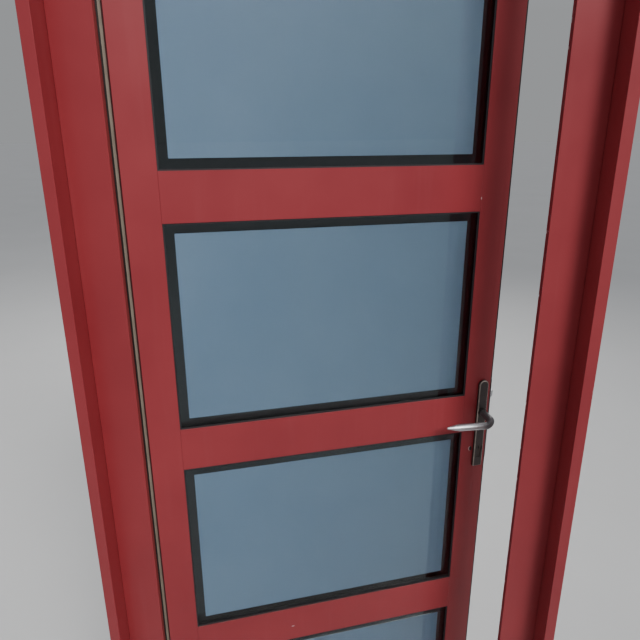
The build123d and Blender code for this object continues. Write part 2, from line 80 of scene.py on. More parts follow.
def intoLeaf(y):  # the same for a depth behind the frame's face, along leafInward
    return y + leafInward.dot(hingePin) - hingePin.y


def facing(place, outward):  # a flat drawing's place, its third axis pointing outward
    across = upward.cross(outward).normalized()
    rise = outward.cross(across)
    turn = Matrix((across, rise, outward)).transposed().to_4x4()
    return Matrix.Translation(place) @ turn


# Shader helpers

noiseSpan = (0.3, 0.7)  # most of what a noise gives lies between these


def addNode(tree, kind, **values):
    node = tree.nodes.new(kind)
    for name, value in values.items():
        setattr(node, name, value)
    return node


def put(tree, node, socket, value):
    if isinstance(value, bpy.types.NodeSocket):
        tree.links.new(value, node.inputs[socket])
    else:
        node.inputs[socket].default_value = value


def maths(tree, operation, first, second, clamp=False):
    node = addNode(tree, "ShaderNodeMath", operation=operation, use_clamp=clamp)
    put(tree, node, 0, first)
    put(tree, node, 1, second)
    return node.outputs[0]


def remap(tree, value, low, high, newLow=0.0, newHigh=1.0):
    node = addNode(tree, "ShaderNodeMapRange", clamp=True)
    for socket, entry in enumerate((value, low, high, newLow, newHigh)):
        put(tree, node, socket, entry)
    return node.outputs[0]


def mixColour(tree, share, first, second):
    node = addNode(tree, "ShaderNodeMix", data_type="RGBA")
    put(tree, node, 0, share)
    put(tree, node, 6, first)  # the node's colour sockets come after those for numbers
    put(tree, node, 7, second)
    return node.outputs[2]


def layColour(tree, tone, mask, share, colour):  # a share of a colour, where the mask has it
    return mixColour(tree, maths(tree, "MULTIPLY", mask, share), tone, colour)


def noiseAt(tree, vector, scale, detail=3.0, roughness=0.5):
    node = addNode(tree, "ShaderNodeTexNoise")
    put(tree, node, "Vector", vector)
    put(tree, node, "Scale", scale)
    put(tree, node, "Detail", detail)
    put(tree, node, "Roughness", roughness)
    return node.outputs["Fac"]


def cutPatches(tree, noise, reach, softness):  # more of the noise counts with a longer reach
    limit = maths(tree, "SUBTRACT", 1.0, reach)
    return remap(tree, noise, limit, maths(tree, "ADD", limit, softness))


def objectPlace(tree):
    return addNode(tree, "ShaderNodeTexCoord").outputs["Object"]


def surfaceNormal(tree):
    return addNode(tree, "ShaderNodeNewGeometry").outputs["Normal"]


def reachAlong(tree, vector, direction):
    dot = addNode(tree, "ShaderNodeVectorMath", operation="DOT_PRODUCT")
    put(tree, dot, 0, vector)
    put(tree, dot, 1, direction)
    return dot.outputs["Value"]


def offFrom(tree, value, middle):  # how far a value lies to either side of the middle
    return maths(tree, "ABSOLUTE", maths(tree, "SUBTRACT", value, middle), 0.0)


def pastSpan(tree, value, low, high):  # how far it lies outside the span, less than 0 inside
    return maths(tree, "SUBTRACT", offFrom(tree, value, (low + high) / 2), (high - low) / 2)


def stretched(tree, vector, scale):
    node = addNode(tree, "ShaderNodeMapping")
    put(tree, node, "Vector", vector)
    put(tree, node, "Scale", scale)
    return node.outputs["Vector"]


def raiseSurface(tree, shader, height, distance, strength=1.0):
    bump = addNode(tree, "ShaderNodeBump")
    put(tree, bump, "Height", height)
    put(tree, bump, "Distance", distance)
    put(tree, bump, "Strength", strength)
    put(tree, shader, "Normal", bump.outputs["Normal"])


def newGroup(name, inputs, outputs):
    tree = bpy.data.node_groups.new(name, "ShaderNodeTree")
    for label, value in inputs.items():
        socket = tree.interface.new_socket(label, in_out="INPUT", socket_type="NodeSocketFloat")
        socket.default_value = value
    for label in outputs:
        tree.interface.new_socket(label, in_out="OUTPUT", socket_type="NodeSocketFloat")
    given = addNode(tree, "NodeGroupInput").outputs
    return tree, given, addNode(tree, "NodeGroupOutput")


# Effects that several finishes share


def buildPowderGrain():  # fine orange peel with smaller specks, and broad patches of tone
    inputs = {"Scale": 700.0, "Patch": 5.0, "Speck Ratio": 3.1, "Speck Share": 0.35}
    tree, given, result = newGroup("powderGrain", inputs, ["Height", "Tone"])
    place = objectPlace(tree)
    peel = noiseAt(tree, place, given["Scale"], detail=2.0)
    speckScale = maths(tree, "MULTIPLY", given["Scale"], given["Speck Ratio"])
    specks = noiseAt(tree, place, speckScale, detail=1.0)
    specks = maths(tree, "MULTIPLY", specks, given["Speck Share"])
    put(tree, result, "Height", maths(tree, "ADD", peel, specks))
    put(tree, result, "Tone", noiseAt(tree, place, given["Patch"], detail=4.0, roughness=0.6))
    return tree


def buildEdgeWear():  # rubbed and knocked edges, broken up by noise
    inputs = {"Radius": 0.001, "Break Up": 60.0, "Reach": 0.5, "Softness": 0.12}
    tree, given, result = newGroup("edgeWear", inputs, ["Mask"])
    bevel = addNode(tree, "ShaderNodeBevel", samples=6)
    put(tree, bevel, "Radius", given["Radius"])
    straight = reachAlong(tree, bevel.outputs["Normal"], surfaceNormal(tree))
    bend = maths(tree, "SUBTRACT", 1.0, straight, clamp=True)
    bendSpan = (0.02, 0.2)  # from nearly flat to a clear edge
    edge = remap(tree, bend, *bendSpan)
    patch = noiseAt(tree, objectPlace(tree), given["Break Up"], detail=5.0, roughness=0.65)
    broken = cutPatches(tree, patch, given["Reach"], given["Softness"])
    put(tree, result, "Mask", maths(tree, "MULTIPLY", edge, broken))
    return tree


def buildStreaks():  # the faint upright runs that rain leaves
    inputs = {"Scale": 30.0, "Reach": 0.45, "Softness": 0.35}
    tree, given, result = newGroup("streaks", inputs, ["Mask"])
    drawnOut = (1.0, 1.0, 0.06)
    place = stretched(tree, objectPlace(tree), drawnOut)
    runs = noiseAt(tree, place, given["Scale"], detail=4.0, roughness=0.6)
    put(tree, result, "Mask", cutPatches(tree, runs, given["Reach"], given["Softness"]))
    return tree


def buildDust():  # dust on level faces, and splashes that reach up from the floor
    inputs = {"Scale": 40.0, "Foot": 0.35, "Splash": 0.55}
    tree, given, result = newGroup("dust", inputs, ["Mask"])
    levelSpan, patchSpan = (0.4, 0.95), (0.32, 0.72)
    place = objectPlace(tree)
    level = remap(tree, reachAlong(tree, surfaceNormal(tree), upward), *levelSpan)
    height = reachAlong(tree, place, upward)
    foot = remap(tree, height, 0.0, given["Foot"], given["Splash"], 0.0)
    patch = noiseAt(tree, place, given["Scale"], detail=5.0, roughness=0.65)
    patch = remap(tree, patch, *patchSpan)
    put(tree, result, "Mask", maths(tree, "MULTIPLY", maths(tree, "MAXIMUM", level, foot), patch))
    return tree


def buildBrushed():  # fine upright hairlines and random scuffs
    inputs = {"Scale": 900.0, "Scuff": 120.0}
    tree, given, result = newGroup("brushed", inputs, ["Height", "Tone"])
    drawnOut = (1.0, 1.0, 0.03)
    place = objectPlace(tree)
    hair = noiseAt(tree, stretched(tree, place, drawnOut), given["Scale"], detail=2.0)
    scuff = noiseAt(tree, place, given["Scuff"], detail=6.0, roughness=0.7)
    put(tree, result, "Height", hair)
    put(tree, result, "Tone", maths(tree, "MULTIPLY", maths(tree, "ADD", hair, scuff), 0.5))
    return tree


groups = {
    "powderGrain": buildPowderGrain(),
    "edgeWear": buildEdgeWear(),
    "streaks": buildStreaks(),
    "dust": buildDust(),
    "brushed": buildBrushed(),
}
print("shader groups built,", len(groups))


def useGroup(tree, name, values):
    node = addNode(tree, "ShaderNodeGroup", node_tree=groups[name])
    for label, value in values.items():
        put(tree, node, label, value)
    return node.outputs


def newMaterial(name):
    material = bpy.data.materials.new(name)
    material.use_nodes = True
    tree = material.node_tree
    tree.nodes.clear()
    output = addNode(tree, "ShaderNodeOutputMaterial")
    shader = addNode(tree, "ShaderNodeBsdfPrincipled")
    put(tree, output, "Surface", shader.outputs["BSDF"])
    return material, tree, shader


# Red powder coat

paintLook = {
    "colour": (0.304, 0.032, 0.038, 1),
    "deep": (0.254, 0.0243, 0.0305, 1),
    "chalk": (0.41, 0.105, 0.112, 1),
    "chalkShare": 0.16,
    "primer": (0.62, 0.58, 0.55, 1),
    "primerShare": 0.8,
    "dust": (0.33, 0.27, 0.235, 1),
    "dustShare": 0.4,
    "roughness": (0.31, 0.44),
    "roughSpan": (0.25, 0.75),  # of the grain's tone
    "dullness": 0.3,  # rougher by this where the paint is dusty or worn
    "grain": {"Scale": 800.0, "Patch": 4.0},
    "grainDepth": 0.00004,
    "wearDepth": 1.6,  # how deep worn paint lies, in grain depths
    "runs": {"Scale": 38.0, "Reach": 0.44},
    "dusting": {"Scale": 45.0, "Foot": 0.4},
    "edges": {"Radius": 0.0012, "Break Up": 70.0},
    "edgeReach": 0.36,
    "hingeEdgeReach": 0.5,
}

rebateShadeLook = {  # painted shade on the front of the leaf's wing, which lies in shadow behind the frame's lip
    "shadow": (0.014, 0.008, 0.007, 1),
    "share": 0.55,  # of the painted shade, on the strip between the leaf's face and the seal
    "change": (-0.004, -0.001),  # where all of it starts, from the seal's outer edge
    "depth": (0.0004, 0.0012),  # off the wing's front, from all to none
    "front": (-0.9, -0.6),  # a face's normal along leafInward, from all to none
}


def rebateShade(tree):
    look = rebateShadeLook
    low, high = shutBox("leaf_seal")
    place = objectPlace(tree)
    depth = offFrom(tree, reachAlong(tree, place, leafInward), intoLeaf(high.y))
    level = remap(tree, depth, *look["depth"], 1.0, 0.0)
    turned = reachAlong(tree, surfaceNormal(tree), leafInward)
    front = remap(tree, turned, *look["front"], 1.0, 0.0)
    along = reachAlong(tree, place, leafAlong)
    aside = pastSpan(tree, along, alongLeaf(low.x), alongLeaf(high.x))
    above = maths(tree, "SUBTRACT", reachAlong(tree, place, upward), high.z)
    beyond = maths(tree, "MAXIMUM", aside, above)
    beyond = remap(tree, beyond, *look["change"], look["share"], 1.0)
    return maths(tree, "MULTIPLY", maths(tree, "MULTIPLY", level, front), beyond)


def redPaint(name, edgeReach, inRebate=False):
    look = paintLook
    material, tree, shader = newMaterial(name)
    grain = useGroup(tree, "powderGrain", look["grain"])
    wear = useGroup(tree, "edgeWear", {**look["edges"], "Reach": edgeReach})["Mask"]
    runs = useGroup(tree, "streaks", look["runs"])["Mask"]
    dust = useGroup(tree, "dust", look["dusting"])["Mask"]
    tone = mixColour(tree, remap(tree, grain["Tone"], *noiseSpan), look["deep"], look["colour"])
    tone = layColour(tree, tone, runs, look["chalkShare"], look["chalk"])
    tone = layColour(tree, tone, wear, look["primerShare"], look["primer"])
    tone = layColour(tree, tone, dust, look["dustShare"], look["dust"])
    if inRebate:
        # painted shade on the wing's front, where the deep gap behind the lip lies in shadow
        tone = mixColour(tree, rebateShade(tree), tone, rebateShadeLook["shadow"])
    put(tree, shader, "Base Color", tone)
    rough = remap(tree, grain["Tone"], *look["roughSpan"], *look["roughness"])
    dull = maths(tree, "MULTIPLY", maths(tree, "MAXIMUM", dust, wear), look["dullness"])
    put(tree, shader, "Roughness", maths(tree, "ADD", rough, dull))
    worn = maths(tree, "MULTIPLY", wear, look["wearDepth"])
    relief = maths(tree, "SUBTRACT", grain["Height"], worn)
    raiseSurface(tree, shader, relief, look["grainDepth"])
    return material


# Bare, plated and satin metals

metalLook = {
    "millAluminium": {
        "dark": (0.45, 0.45, 0.46, 1),
        "pale": (0.62, 0.62, 0.63, 1),
        "roughness": (0.34, 0.5),
    },
    "zincSteel": {
        "dark": (0.36, 0.36, 0.38, 1),
        "pale": (0.52, 0.52, 0.54, 1),
        "roughness": (0.28, 0.44),
    },
    "screwSteel": {
        "dark": (0.34, 0.34, 0.34, 1),
        "pale": (0.56, 0.55, 0.55, 1),
        "roughness": (0.3, 0.46),
        "hairs": 1500.0,
    },
    # painted shade: the cylinder's nickel is darkened for the shade in the plate's recess
    "shadedNickel": {
        "dark": (0.06, 0.056, 0.05, 1),
        "pale": (0.12, 0.11, 0.10, 1),
        "roughness": (0.3, 0.46),
        "hairs": 1800.0,
    },
    "plateBronze": {
        "dark": (0.082, 0.078, 0.074, 1),
        "pale": (0.125, 0.118, 0.112, 1),
        # painted highlight, with some rubbed wear, on the plates' bevelled edges
        "rubbedAndSheen": (0.42, 0.36, 0.31, 1),
        "rubSheenWidth": (0.08, 0.2),  # how far a face's slope may be off the bevelled edges'
        "rubSheenScale": 45.0,
        "rubSheenBreak": (0.3, 0.62),
        "rubSheenLeast": 0.35,
        "roughness": (0.36, 0.52),
    },
    "leverSteel": {
        "dark": (0.1, 0.096, 0.1, 1),
        "pale": (0.15, 0.145, 0.15, 1),
        "wornDark": (0.54, 0.54, 0.55, 1),
        "wornPale": (0.7, 0.7, 0.71, 1),
        "wornSpan": (0.022, 0.054),  # metres from the neck's outer side, along the grip
        "wornRagged": 0.006,  # how far the worn part's edge wanders to either side
        "wornBreak": (0.2, 0.8),
        "wornScale": 180.0,
        "coatShine": 0.35,  # how metallic the dark finish looks where it is not worn off
        "roughness": (0.32, 0.48),
    },
}

metalGrain = {
    "hairs": 900.0,  # for the metals that name no other
    "scuffs": 120.0,
    "depth": 0.00002,
    "dusting": {"Scale": 60.0, "Foot": 0.2},
    "dustShare": 0.25,
}


def handWear(tree, look):  # grows along the grip from the neck, with a ragged edge
    place = objectPlace(tree)
    neck = alongLeaf(shutBox("outside_lever")[1].x)
    edge = noiseAt(tree, place, look["wornScale"], detail=4.0, roughness=0.6)
    edge = remap(tree, edge, *look["wornBreak"], -look["wornRagged"], look["wornRagged"])
    reach = maths(tree, "SUBTRACT", neck, reachAlong(tree, place, leafAlong))
    return remap(tree, maths(tree, "ADD", reach, edge), *look["wornSpan"])


def bevelRubAndSheen(tree, look):  # painted highlight, with some rubbed wear, on the bevelled edges of a plate that lies flat on the leaf
    slope = maths(tree, "ABSOLUTE", reachAlong(tree, surfaceNormal(tree), leafInward), 0.0)
    away = offFrom(tree, slope, math.cos(math.radians(45)))
    rub = remap(tree, away, *look["rubSheenWidth"], 1.0, 0.0)
    patch = noiseAt(tree, objectPlace(tree), look["rubSheenScale"], detail=4.0, roughness=0.6)
    patch = remap(tree, patch, *look["rubSheenBreak"], look["rubSheenLeast"], 1.0)
    return maths(tree, "MULTIPLY", rub, patch)


def bareMetal(name):
    look, grain = metalLook[name], metalGrain
    material, tree, shader = newMaterial(name)
    hairs = look.get("hairs", grain["hairs"])
    brush = useGroup(tree, "brushed", {"Scale": hairs, "Scuff": grain["scuffs"]})
    shade = remap(tree, brush["Tone"], *noiseSpan)
    tone = mixColour(tree, shade, look["dark"], look["pale"])
    put(tree, shader, "Metallic", 1.0)
    if "wornPale" in look:
        wear = handWear(tree, look)
        bare = mixColour(tree, shade, look["wornDark"], look["wornPale"])
        tone = mixColour(tree, wear, tone, bare)
        put(tree, shader, "Metallic", remap(tree, wear, 0.0, 1.0, look["coatShine"], 1.0))
    # painted highlight on the plates' bevelled edges, with some rubbed wear
    if "rubbedAndSheen" in look:
        tone = mixColour(tree, bevelRubAndSheen(tree, look), tone, look["rubbedAndSheen"])
    dust = useGroup(tree, "dust", grain["dusting"])["Mask"]
    tone = layColour(tree, tone, dust, grain["dustShare"], paintLook["dust"])
    put(tree, shader, "Base Color", tone)
    put(tree, shader, "Roughness", remap(tree, brush["Tone"], *noiseSpan, *look["roughness"]))
    raiseSurface(tree, shader, brush["Height"], grain["depth"])
    return material


# Rubber, plastic, bared primer and the painted shade of the old screw hole

softLook = {
    "blackRubber": {
        "dark": (0.01, 0.01, 0.012, 1),
        "pale": (0.022, 0.022, 0.025, 1),
        "roughness": (0.52, 0.68),
    },
    "darkSpacer": {
        "dark": (0.012, 0.012, 0.013, 1),
        "pale": (0.024, 0.024, 0.026, 1),
        "roughness": (0.42, 0.58),
    },
    "greySeal": {
        "dark": (0.19, 0.153, 0.113, 1),
        "pale": (0.285, 0.237, 0.182, 1),
        "roughness": (0.62, 0.78),
    },
    "blockPlastic": {
        "dark": (0.04, 0.04, 0.04, 1),
        "pale": (0.07, 0.07, 0.07, 1),
        "roughness": (0.42, 0.58),
    },
    "chipPrimer": {
        "dark": (0.5, 0.34, 0.34, 1),
        "pale": (0.68, 0.54, 0.53, 1),
        "roughness": (0.52, 0.68),
    },
    # painted shade: a near-black disc for the shadow inside the old screw hole
    "holeShade": {
        "dark": (0.008, 0.008, 0.008, 1),
        "pale": (0.02, 0.018, 0.015, 1),
        "roughness": (0.62, 0.78),
    },
}

softGrain = {
    "grain": {"Scale": 500.0, "Patch": 25.0},
    "toneSpan": (0.3, 0.75),
    "depth": 0.00005,
    "dusting": {"Scale": 80.0, "Foot": 0.25},
    "dustShare": 0.12,
}


def softMatter(name):
    look = softLook[name]
    material, tree, shader = newMaterial(name)
    grain = useGroup(tree, "powderGrain", softGrain["grain"])
    dust = useGroup(tree, "dust", softGrain["dusting"])["Mask"]
    shade = remap(tree, grain["Tone"], *softGrain["toneSpan"])
    tone = mixColour(tree, shade, look["dark"], look["pale"])
    tone = layColour(tree, tone, dust, softGrain["dustShare"], paintLook["dust"])
    put(tree, shader, "Base Color", tone)
    put(tree, shader, "Roughness", remap(tree, grain["Tone"], *noiseSpan, *look["roughness"]))
    raiseSurface(tree, shader, grain["Height"], softGrain["depth"])
    return material


# Clear glass and its satin field

glassLook = {
    "tint": (0.88, 0.91, 0.91, 1),
    "ior": 1.36,
    "smear": 0.05,  # the roughest that the clear glass gets
    "smearScale": 9.0,
    "smearSpan": (0.45, 0.8),
    "grime": (0.45, 0.45, 0.42, 1),
    "grimeShare": 0.1,
    "runs": {"Scale": 60.0, "Reach": 0.36},
    "waveScale": 2.2,
    "waveDepth": 0.0004,
    "waveStrength": 0.25,
    "borderShade": (0.03, 0.037, 0.04, 1),  # painted shade: the inner panes' clear borders are darkened to stand for the dark room seen through them
    "borderStep": 0.013,  # how far the dark border reaches in behind the satin field
    "borderFade": 0.001,
}

frostLook = {
    "colour": (0.265, 0.4, 0.575, 1),
    "pale": (0.31, 0.45, 0.625, 1),
    "cloudScale": 3.0,
    "run": (0.30, 0.40, 0.49, 1),
    "runShare": 0.15,
    "runs": {"Scale": 26.0, "Reach": 0.5},
    "handleSideShade": (0.115, 0.17, 0.225, 1),  # painted shade, darker towards the handle's side
    "handleSideShadeShare": 0.5,
    "roughness": (0.37, 0.52),
    "grainScale": 2600.0,
    "grainDepth": 0.00002,
    "margins": {"left": 0.035, "right": 0.0385, "bottom": 0.0355, "top": 0.0345},  # from the cut
    "corner": 0.0008,
    "thickness": 0.0001,
    "gap": 0.00005,
}


def satinCorners(n):  # the satin field's lowest and highest corners on a shut pane
    low, high = shutBox(f"outer_pane_{n}")
    edges = frostLook["margins"]
    least = Vector((low.x + edges["left"], high.y, low.z + edges["bottom"]))
    most = Vector((high.x - edges["right"], high.y, high.z - edges["top"]))
    return least, most


def borderMask(tree):  # one outside the satin fields, which repeat down the leaf
    low, high = satinCorners(1)
    pitch = low.z - satinCorners(2)[0].z
    place = objectPlace(tree)
    along = reachAlong(tree, place, leafAlong)
    aside = pastSpan(tree, along, alongLeaf(low.x), alongLeaf(high.x))
    rise = maths(tree, "SUBTRACT", reachAlong(tree, place, upward), (low.z + high.z) / 2)
    rise = maths(tree, "PINGPONG", rise, pitch / 2)
    rise = maths(tree, "SUBTRACT", rise, (high.z - low.z) / 2)
    edge = maths(tree, "ADD", maths(tree, "MAXIMUM", aside, rise), glassLook["borderStep"])
    return remap(tree, edge, -glassLook["borderFade"], glassLook["borderFade"])


def clearGlass(name, dimBorder=False):
    look = glassLook
    material, tree, shader = newMaterial(name)
    place = objectPlace(tree)
    smear = noiseAt(tree, place, look["smearScale"], detail=5.0, roughness=0.65)
    rough = remap(tree, smear, *look["smearSpan"], 0.0, look["smear"])
    put(tree, shader, "Roughness", rough)
    runs = useGroup(tree, "streaks", look["runs"])["Mask"]
    tone = layColour(tree, look["tint"], runs, look["grimeShare"], look["grime"])
    if dimBorder:
        # painted shade on the clear border, for the dark room seen through it
        tone = mixColour(tree, borderMask(tree), tone, look["borderShade"])
    put(tree, shader, "Base Color", tone)
    put(tree, shader, "IOR", look["ior"])
    put(tree, shader, "Transmission Weight", 1.0)
    waves = noiseAt(tree, place, look["waveScale"], detail=1.0)
    raiseSurface(tree, shader, waves, look["waveDepth"], look["waveStrength"])
    return material


def frostFilm():
    look = frostLook
    material, tree, shader = newMaterial("frostFilm")
    place = objectPlace(tree)
    cloud = noiseAt(tree, place, look["cloudScale"], detail=4.0, roughness=0.6)
    runs = useGroup(tree, "streaks", look["runs"])["Mask"]
    tone = mixColour(tree, remap(tree, cloud, *noiseSpan), look["colour"], look["pale"])
    tone = layColour(tree, tone, runs, look["runShare"], look["run"])
    # painted shade: the satin field grows darker towards the handle's side
    low, high = satinCorners(1)
    along = reachAlong(tree, place, leafAlong)
    side = remap(tree, along, alongLeaf(low.x), alongLeaf(high.x), 0.0, look["handleSideShadeShare"])
    tone = mixColour(tree, side, tone, look["handleSideShade"])
    put(tree, shader, "Base Color", tone)
    put(tree, shader, "Roughness", remap(tree, cloud, *noiseSpan, *look["roughness"]))
    grain = noiseAt(tree, place, look["grainScale"], detail=2.0)
    raiseSurface(tree, shader, grain, look["grainDepth"])
    return material


finishes = {
    "red_paint": redPaint("redPaint", paintLook["edgeReach"]),
    "leaf_edge": redPaint("leafEdgePaint", paintLook["edgeReach"], inRebate=True),
    "hinge_paint": redPaint("hingePaint", paintLook["hingeEdgeReach"]),
    "mill_aluminium": bareMetal("millAluminium"),
    "glass": clearGlass("streetGlass"),
    "black_rubber": softMatter("blackRubber"),
    "grey_rubber": softMatter("greySeal"),
    "block_plastic": softMatter("blockPlastic"),
    "zinc_steel": bareMetal("zincSteel"),
    "screw_steel": bareMetal("screwSteel"),
    "cylinder_nickel": bareMetal("shadedNickel"),
    "dark_metal": bareMetal("plateBronze"),
    "lever_metal": bareMetal("leverSteel"),
    "frost_film": frostFilm(),
    "chip_primer": softMatter("chipPrimer"),
    "hole_shade": softMatter("holeShade"),
    "dark_spacer": softMatter("darkSpacer"),
    "room_glass": clearGlass("roomGlass", dimBorder=True),
}
kindFinishes = {  # the kinds of node that look unlike the rest of their slot
    "spacer": "dark_spacer",
    "inner_pane": "room_glass",
    "hinge_stile": "leaf_edge",
    "lock_stile": "leaf_edge",
    "top_rail": "leaf_edge",
}
print("finishes built,", len(finishes))


# Dress the CAD parts and ease their edges

edgeLook = {
    "widths": {
        "red_paint": 0.0008,
        "hinge_paint": 0.0006,
        "mill_aluminium": 0.0004,
        "zinc_steel": 0.0004,
        "lever_metal": 0.0012,
        "dark_metal": 0.0006,
    },
    "angle": 32.0,
    "segments": 2,
    "weld": 0.00001,
}


def easeEdges(part, width):
    weld = part.modifiers.new("joinFaces", "WELD")
    weld.merge_threshold = edgeLook["weld"]
    bevel = part.modifiers.new("easedEdges", "BEVEL")
    bevel.width = width
    bevel.segments = edgeLook["segments"]
    bevel.limit_method = "ANGLE"
    bevel.angle_limit = math.radians(edgeLook["angle"])
    bevel.harden_normals = True


for entry in frame["record"]["subparts"]:
    part, slot = nodes[entry["node"]], entry["material_slot"]
    kind = entry["node"].rstrip("_1234")
    part.data.materials.clear()
    part.data.materials.append(finishes[kindFinishes.get(kind, slot)])
    if slot in edgeLook["widths"]:
        easeEdges(part, edgeLook["widths"][slot])
print("CAD parts dressed")


# New pieces


def addObject(name, content):
    thing = bpy.data.objects.new(name, content)
    bpy.context.scene.collection.objects.link(thing)
    return thing


def newPiece(name, shape, finish, body):
    bmesh.ops.recalc_face_normals(shape, faces=shape.faces)
    mesh = bpy.data.meshes.new(name)
    shape.to_mesh(mesh)
    shape.free()
    mesh.materials.append(finishes[finish])
    piece = addObject(name, mesh)
    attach(piece, body)


def addPrism(shape, outline, place, thickness):  # a flat outline with its thickness behind it
    front = [shape.verts.new(place @ Vector((u, v, 0))) for u, v in outline]
    back = [shape.verts.new(place @ Vector((u, v, -thickness))) for u, v in outline]
    shape.faces.new(front)
    shape.faces.new(list(reversed(back)))
    for n, start in enumerate(front):
        m = (n + 1) % len(front)
        shape.faces.new((front[m], start, back[n], back[m]))


# The satin field lies on the cavity side of each outer pane, inside a clear border


def roundedOutline(width, height, radius, steps=3):
    points = []
    for corner, (sideX, sideY) in enumerate(((1, 1), (-1, 1), (-1, -1), (1, -1))):
        for step in range(steps + 1):
            angle = math.radians(90 * (corner + step / steps))
            x = sideX * (width / 2 - radius) + radius * math.cos(angle)
            y = sideY * (height / 2 - radius) + radius * math.sin(angle)
            points.append((x, y))
    return points


def addFrostField(n):
    low, high = satinCorners(n)
    middle = (low + high) / 2 + toRoom * frostLook["gap"]
    outline = roundedOutline(high.x - low.x, high.z - low.z, frostLook["corner"])
    shape = bmesh.new()
    addPrism(shape, outline, leafTurn @ facing(middle, toStreet), frostLook["thickness"])
    newPiece(f"frost_field_{n}", shape, "frost_film", "leaf")


for n in (1, 2, 3, 4):
    addFrostField(n)
print("satin fields added")


# Chips in the paint of the lock jamb's lip, and two chips and an old screw hole on the leaf, the hole's dark
# inside being painted shade

chipLook = {
    "thickness": 0.00006,
    "flakeReach": (0.68, 1.0),
    "lipSeed": 4,
    "lipDepth": 0.014,
    "lipChips": (  # each one's height above the floor, and its size
        (1.868, 0.012),
        (1.827, 0.006),
        (1.528, 0.009),
        (1.411, 0.006),
        (1.1905, 0.010),
        (1.092, 0.005),
        (1.0195, 0.007),
        (0.792, 0.004),
        (0.7596, 0.008),
        (0.648, 0.006),
    ),
    "lipWidth": 0.005,
    "lipVaries": (0.8, 1.3),
    "lipBack": {"place": 0.35, "width": 0.7, "height": 0.8},  # in sizes of the flake in front
    "leafSeed": 9,
    "leafMarks": (  # each one's x and z on the shut leaf, its width and height
        (0.3135, 1.5695, 0.003, 0.0068),
        (-0.0939, 0.5699, 0.0095, 0.0032),
    ),
    "holePlace": (0.3384, 0.9905),
    "holeRadius": 0.0034,
    "holeRise": 1.6,  # its height in widths
    "holePoints": 20,
    "rimFrom": 110,  # degrees round the hole, where the bared rim starts
    "rimStep": 10,
    "rimPoints": 15,
    "rimLeast": 1.08,  # how far out the rim reaches at its ends, in radii
    "rimSwell": 0.5,  # and how much further halfway
}


def flakeOutline(width, height, dice, points=11):  # an uneven round flake
    outline = []
    for n in range(points):
        angle = 2 * math.pi * n / points
        reach = dice.uniform(*chipLook["flakeReach"]) / 2
        outline.append((width * reach * math.cos(angle), height * reach * math.sin(angle)))
    return outline


def holeOutline(turns, reaches):  # an upright oval, or part of one
    rise = chipLook["holeRise"]
    return [(r * math.cos(a), r * rise * math.sin(a)) for a, r in zip(turns, reaches)]


def addLipChips():
    look = chipLook
    dice = random.Random(look["lipSeed"])
    thickness, shares = look["thickness"], look["lipBack"]
    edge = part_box("lock_jamb")[0].x
    shape = bmesh.new()
    for height, size in look["lipChips"]:
        width = look["lipWidth"] * dice.uniform(*look["lipVaries"])
        side = Vector((edge - thickness / 2, look["lipDepth"] - width / 2, height))
        back = Vector((edge + width * shares["place"], look["lipDepth"] + thickness / 2, height))
        sideFlake = flakeOutline(width, size, dice)
        backFlake = flakeOutline(width * shares["width"], size * shares["height"], dice)
        addPrism(shape, sideFlake, facing(side, toHinges), thickness)
        addPrism(shape, backFlake, facing(back, toRoom), thickness)
    newPiece("lip_paint_chips", shape, "chip_primer", "frame")


def chipPlace(x, z):  # on the leaf's face, half sunk into the paint
    return leafTurn @ facing(Vector((x, -chipLook["thickness"] / 2, z)), toStreet)


def addLeafChips():
    look = chipLook
    dice = random.Random(look["leafSeed"])
    shape = bmesh.new()
    for x, z, width, height in look["leafMarks"]:
        flake = flakeOutline(width, height, dice)
        addPrism(shape, flake, chipPlace(x, z), look["thickness"])
    count, radius = look["rimPoints"], look["holeRadius"]
    turns = [math.radians(look["rimFrom"] + look["rimStep"] * n) for n in range(count)]
    swell = [look["rimSwell"] * math.sin(math.pi * n / (count - 1)) for n in range(count)]
    rim = holeOutline(turns, [radius * (look["rimLeast"] + more) for more in swell])
    rim += holeOutline(reversed(turns), [radius] * count)
    addPrism(shape, rim, chipPlace(*look["holePlace"]), look["thickness"])
    newPiece("leaf_paint_chips", shape, "chip_primer", "leaf")


# painted shade: a flat near-black disc stands for the shadow inside the old screw hole
def addScrewHole():
    count = chipLook["holePoints"]
    turns = [2 * math.pi * n / count for n in range(count)]
    disc = holeOutline(turns, [chipLook["holeRadius"]] * count)
    shape = bmesh.new()
    addPrism(shape, disc, chipPlace(*chipLook["holePlace"]), chipLook["thickness"])
    newPiece("old_screw_hole", shape, "hole_shade", "leaf")


addLipChips()
addLeafChips()
addScrewHole()
print("paint chips added")


# Small screws: in the hinge flaps, the lock's forend and the strike plate

screwLook = {
    "headRadius": 0.0038,
    "dome": 0.0005,
    "lift": 0.0001,  # of the head's rim off the metal
    "sunk": 0.0012,
    "slotWidth": 0.0009,
    "slotReach": 0.0026,
    "slotDepth": 0.0011,
    "rings": 9,
    "spokes": 48,
    "flapInset": 0.012,
    "flapPitch": 0.026,
    "flapBack": {"frame": 0.044, "leaf": 0.0434},
    "endInset": 0.009,
}


def headHeight(x, y):  # the low dome, with the cross cut into it
    look = screwLook
    dome = look["dome"] * (1 - (math.hypot(x, y) / look["headRadius"]) ** 2) + look["lift"]
    narrow, long = sorted((abs(x), abs(y)))
    inSlot = narrow < look["slotWidth"] / 2 and long < look["slotReach"]
    return dome - look["slotDepth"] if inSlot else dome


def ringPoints(reach):
    count = screwLook["spokes"]
    turns = [2 * math.pi * spoke / count for spoke in range(count)]
    return [(reach * math.cos(turn), reach * math.sin(turn)) for turn in turns]


